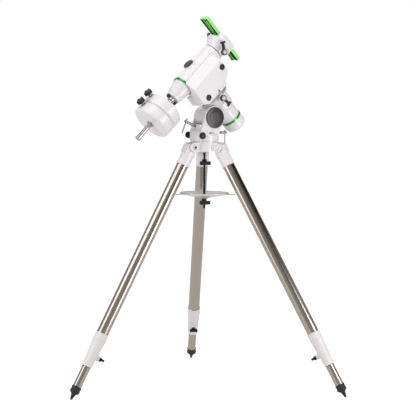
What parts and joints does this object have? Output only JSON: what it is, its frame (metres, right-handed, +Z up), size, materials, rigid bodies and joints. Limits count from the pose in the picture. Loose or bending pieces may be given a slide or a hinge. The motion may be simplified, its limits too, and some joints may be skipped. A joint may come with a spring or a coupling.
{
  "type": "german equatorial mount on a tripod",
  "caption": "White equatorial mount head with polar and declination axes, counterweights, green dovetail bar and a folding steel tripod with extending legs.",
  "frame": {"origin": "on the ground, at the middle of the whole mount's box; the azimuth axis stands 141.2 mm south of it", "axes": "+Z up, +Y north along the north leg, +X east; the polar axis rises to the north at 46 degrees"},
  "size_m": [1.0096, 0.8812, 1.3883],
  "materials": {
    "white_paint": "glossy, slightly cool white enamel",
    "stainless": "brushed along the tube, semi-bright",
    "steel": "turned",
    "chrome": "polished",
    "black_plastic": "moulded, satin",
    "dark_cap": "satin dark grey with a purple cast",
    "black_steel": "black oxide",
    "green_anodised": "bright green anodised",
    "ring_metal": "dark satin",
    "brass": "turned",
    "foot_rubber": "matt",
    "tray_alloy": "light grey paint"
  },
  "bodies": {
    "tripod": {"tripod_hub": "white_paint", "leg_hinge_pins": "steel", "azimuth_peg": "steel", "centre_rod": "black_steel"},
    "north_leg": {"north_leg_casting": "white_paint", "north_upper_tube": "stainless", "north_clamp": "white_paint"},
    "north_leg_lock": {"north_leg_lock": "black_plastic"},
    "north_leg_foot": {"north_lower_tube": "stainless", "north_foot": "foot_rubber"},
    "west_leg": {"west_leg_casting": "white_paint", "west_upper_tube": "stainless", "west_clamp": "white_paint"},
    "west_leg_lock": {"west_leg_lock": "black_plastic"},
    "west_leg_foot": {"west_lower_tube": "stainless", "west_foot": "foot_rubber"},
    "east_leg": {"east_leg_casting": "white_paint", "east_upper_tube": "stainless", "east_clamp": "white_paint"},
    "east_leg_lock": {"east_leg_lock": "black_plastic"},
    "east_leg_foot": {"east_lower_tube": "stainless", "east_foot": "foot_rubber"},
    "mount_knob": {"mount_knob": "black_plastic"},
    "tray": {"spreader_tray": "tray_alloy"},
    "tray_knob": {"tray_knob": "black_plastic"},
    "azimuth_base": {"azimuth_base": "white_paint", "altitude_axle": "steel", "pivot_caps": "dark_cap", "spirit_level": "brass"},
    "west_azimuth_screw": {"west_azimuth_screw": "black_plastic"},
    "east_azimuth_screw": {"east_azimuth_screw": "black_plastic"},
    "north_altitude_bolt": {"north_altitude_bolt": "steel"},
    "north_tommy_bar": {"north_tommy_bar": "steel"},
    "south_altitude_bolt": {"south_altitude_bolt": "steel"},
    "south_tommy_bar": {"south_tommy_bar": "steel"},
    "polar_unit": {"polar_housing": "white_paint", "setting_ring": "ring_metal", "polar_worm_wheel": "brass", "polar_accent_ring": "green_anodised"},
    "polar_cap": {"polar_cap": "white_paint"},
    "polar_clutch": {"polar_clutch_lever": "black_plastic"},
    "declination_unit": {"declination_housing": "white_paint", "polar_shaft": "steel", "drive_cover": "white_paint", "drive_motors": "steel", "cover_plugs": "black_plastic", "port_panel": "white_paint", "declination_accent_ring": "green_anodised"},
    "window_plug": {"window_plug": "black_plastic"},
    "shaft_lock": {"shaft_lock_ring": "black_plastic"},
    "weight_shaft": {"weight_shaft": "chrome"},
    "upper_weight": {"upper_weight": "white_paint"},
    "lower_weight": {"lower_weight": "white_paint"},
    "upper_weight_knob": {"upper_weight_knob": "black_plastic"},
    "lower_weight_knob": {"lower_weight_knob": "black_plastic"},
    "saddle": {"declination_shaft": "steel", "saddle": "white_paint"},
    "declination_clutch": {"declination_clutch_lever": "black_plastic"},
    "saddle_knob": {"saddle_knob": "black_plastic"},
    "dovetail_bar": {"dovetail_bar": "green_anodised"}
  },
  "joints": [
    {"name": "north_leg_fold", "type": "hinge", "parent": "tripod", "child": "north_leg", "pos_m": [0, -0.0797, 0.9], "axis": [-1, 0, 0], "range_deg": [0, 20]},
    {"name": "north_leg_lock_turn", "type": "hinge", "parent": "north_leg", "child": "north_leg_lock", "pos_m": [0, 0.31432, 0.13453], "axis": [0, -0.8669, -0.4985], "range_deg": [-180, 180]},
    {"name": "north_leg_extend", "type": "slide", "parent": "north_leg", "child": "north_leg_foot", "axis": [0, 0.4985, -0.8669], "range_m": [0, 0.38]},
    {"name": "west_leg_fold", "type": "hinge", "parent": "tripod", "child": "west_leg", "pos_m": [-0.05326, -0.17195, 0.9], "axis": [0.5, -0.866, 0], "range_deg": [0, 20]},
    {"name": "west_leg_lock_turn", "type": "hinge", "parent": "west_leg", "child": "west_leg_lock", "pos_m": [-0.39449, -0.36897, 0.13453], "axis": [0.7508, 0.4334, -0.4985], "range_deg": [-180, 180]},
    {"name": "west_leg_extend", "type": "slide", "parent": "west_leg", "child": "west_leg_foot", "axis": [-0.4317, -0.2492, -0.8669], "range_m": [0, 0.38]},
    {"name": "east_leg_fold", "type": "hinge", "parent": "tripod", "child": "east_leg", "pos_m": [0.05326, -0.17195, 0.9], "axis": [0.5, 0.866, 0], "range_deg": [0, 20]},
    {"name": "east_leg_lock_turn", "type": "hinge", "parent": "east_leg", "child": "east_leg_lock", "pos_m": [0.39449, -0.36897, 0.13453], "axis": [-0.7508, 0.4334, -0.4985], "range_deg": [-180, 180]},
    {"name": "east_leg_extend", "type": "slide", "parent": "east_leg", "child": "east_leg_foot", "axis": [0.4317, -0.2492, -0.8669], "range_m": [0, 0.38]},
    {"name": "mount_knob_turn", "type": "hinge", "parent": "tripod", "child": "mount_knob", "pos_m": [0, -0.1412, 0.843], "axis": [0, 0, 1], "continuous": true},
    {"name": "tray_drop", "type": "slide", "parent": "tripod", "child": "tray", "axis": [0, 0, -1], "range_m": [0, 0.4]},
    {"name": "tray_knob_turn", "type": "hinge", "parent": "tray", "child": "tray_knob", "pos_m": [0, -0.1412, 0.695], "axis": [0, 0, 1], "continuous": true},
    {"name": "azimuth_adjust", "type": "hinge", "parent": "tripod", "child": "azimuth_base", "pos_m": [0, -0.1412, 0.93], "axis": [0, 0, 1], "range_deg": [-6, 6]},
    {"name": "west_azimuth_screw_travel", "type": "slide", "parent": "azimuth_base", "child": "west_azimuth_screw", "axis": [1, 0, 0], "range_m": [-0.005, 0.005]},
    {"name": "east_azimuth_screw_travel", "type": "slide", "parent": "azimuth_base", "child": "east_azimuth_screw", "axis": [1, 0, 0], "range_m": [-0.005, 0.005]},
    {"name": "latitude_adjust", "type": "hinge", "parent": "azimuth_base", "child": "polar_unit", "pos_m": [0, -0.1607, 1.011], "axis": [1, 0, 0], "range_deg": [-20, 7]},
    {"name": "north_altitude_bolt_travel", "type": "slide", "parent": "azimuth_base", "child": "north_altitude_bolt", "axis": [0, 0.9232, 0.3843], "range_m": [-0.022, 0.01]},
    {"name": "south_altitude_bolt_travel", "type": "slide", "parent": "azimuth_base", "child": "south_altitude_bolt", "axis": [0, 1, 0], "range_m": [-0.022, 0.01]},
    {"name": "north_tommy_bar_slide", "type": "slide", "parent": "north_altitude_bolt", "child": "north_tommy_bar", "axis": [0, 0.3843, -0.9232], "range_m": [-0.034, 0]},
    {"name": "south_tommy_bar_slide", "type": "slide", "parent": "south_altitude_bolt", "child": "south_tommy_bar", "axis": [0, 0, 1], "range_m": [0, 0.004]},
    {"name": "polar_cap_pull", "type": "slide", "parent": "polar_unit", "child": "polar_cap", "axis": [0, -0.6947, -0.7193], "range_m": [0, 0.06]},
    {"name": "polar_clutch_turn", "type": "hinge", "parent": "polar_unit", "child": "polar_clutch", "pos_m": [-0.07, -0.17471, 1.08431], "axis": [1, 0, 0], "range_deg": [-30, 30]},
    {"name": "polar_axis", "type": "hinge", "parent": "polar_unit", "child": "declination_unit", "pos_m": [0, -0.09505, 1.17976], "axis": [0, 0.6947, 0.7193], "range_deg": [-150, 150]},
    {"name": "window_plug_pull", "type": "slide", "parent": "declination_unit", "child": "window_plug", "axis": [0, 0.6947, 0.7193], "range_m": [0, 0.03]},
    {"name": "shaft_lock_turn", "type": "hinge", "parent": "declination_unit", "child": "shaft_lock", "pos_m": [0, 0.00997, 1.07834], "axis": [0, -0.7193, 0.6947], "range_deg": [0, 60]},
    {"name": "weight_shaft_slide", "type": "slide", "parent": "declination_unit", "child": "weight_shaft", "axis": [0, -0.7193, 0.6947], "range_m": [0, 0.012]},
    {"name": "upper_weight_slide", "type": "slide", "parent": "weight_shaft", "child": "upper_weight", "axis": [0, -0.7193, 0.6947], "range_m": [0, 0.01]},
    {"name": "lower_weight_slide", "type": "slide", "parent": "weight_shaft", "child": "lower_weight", "axis": [0, 0.7193, -0.6947], "range_m": [0, 0.068]},
    {"name": "upper_weight_knob_turn", "type": "hinge", "parent": "upper_weight", "child": "upper_weight_knob", "pos_m": [0, 0.10789, 1.10055], "axis": [0, 0.6947, 0.7193], "range_deg": [-180, 180]},
    {"name": "lower_weight_knob_turn", "type": "hinge", "parent": "lower_weight", "child": "lower_weight_knob", "pos_m": [0, 0.13954, 1.06999], "axis": [0, 0.6947, 0.7193], "range_deg": [-180, 180]},
    {"name": "declination_axis", "type": "hinge", "parent": "declination_unit", "child": "saddle", "pos_m": [0, -0.09505, 1.17976], "axis": [0, -0.7193, 0.6947], "continuous": true},
    {"name": "declination_clutch_turn", "type": "hinge", "parent": "saddle", "child": "declination_clutch", "pos_m": [-0.055, -0.1876, 1.25523], "axis": [1, 0, 0], "range_deg": [-20, 15]},
    {"name": "saddle_knob_turn", "type": "hinge", "parent": "saddle", "child": "saddle_knob", "pos_m": [0.06, -0.20689, 1.30722], "axis": [1, 0, 0], "range_deg": [-180, 180]},
    {"name": "dovetail_bar_slide", "type": "slide", "parent": "saddle", "child": "dovetail_bar", "axis": [0, 0.6947, 0.7193], "range_m": [-0.05, 0.05]}
  ],
  "couplings": [
    {"joint": "west_leg_fold", "follows": "north_leg_fold", "ratio": 1},
    {"joint": "east_leg_fold", "follows": "north_leg_fold", "ratio": 1},
    {"joint": "tray_drop", "follows": "north_leg_fold", "m_per_rad": 1.1448},
    {"joint": "west_azimuth_screw_travel", "follows": "azimuth_adjust", "m_per_rad": 0.042},
    {"joint": "east_azimuth_screw_travel", "follows": "azimuth_adjust", "m_per_rad": 0.042},
    {"joint": "north_altitude_bolt_travel", "follows": "latitude_adjust", "m_per_rad": 0.05},
    {"joint": "south_altitude_bolt_travel", "follows": "latitude_adjust", "m_per_rad": 0.058}
  ]
}
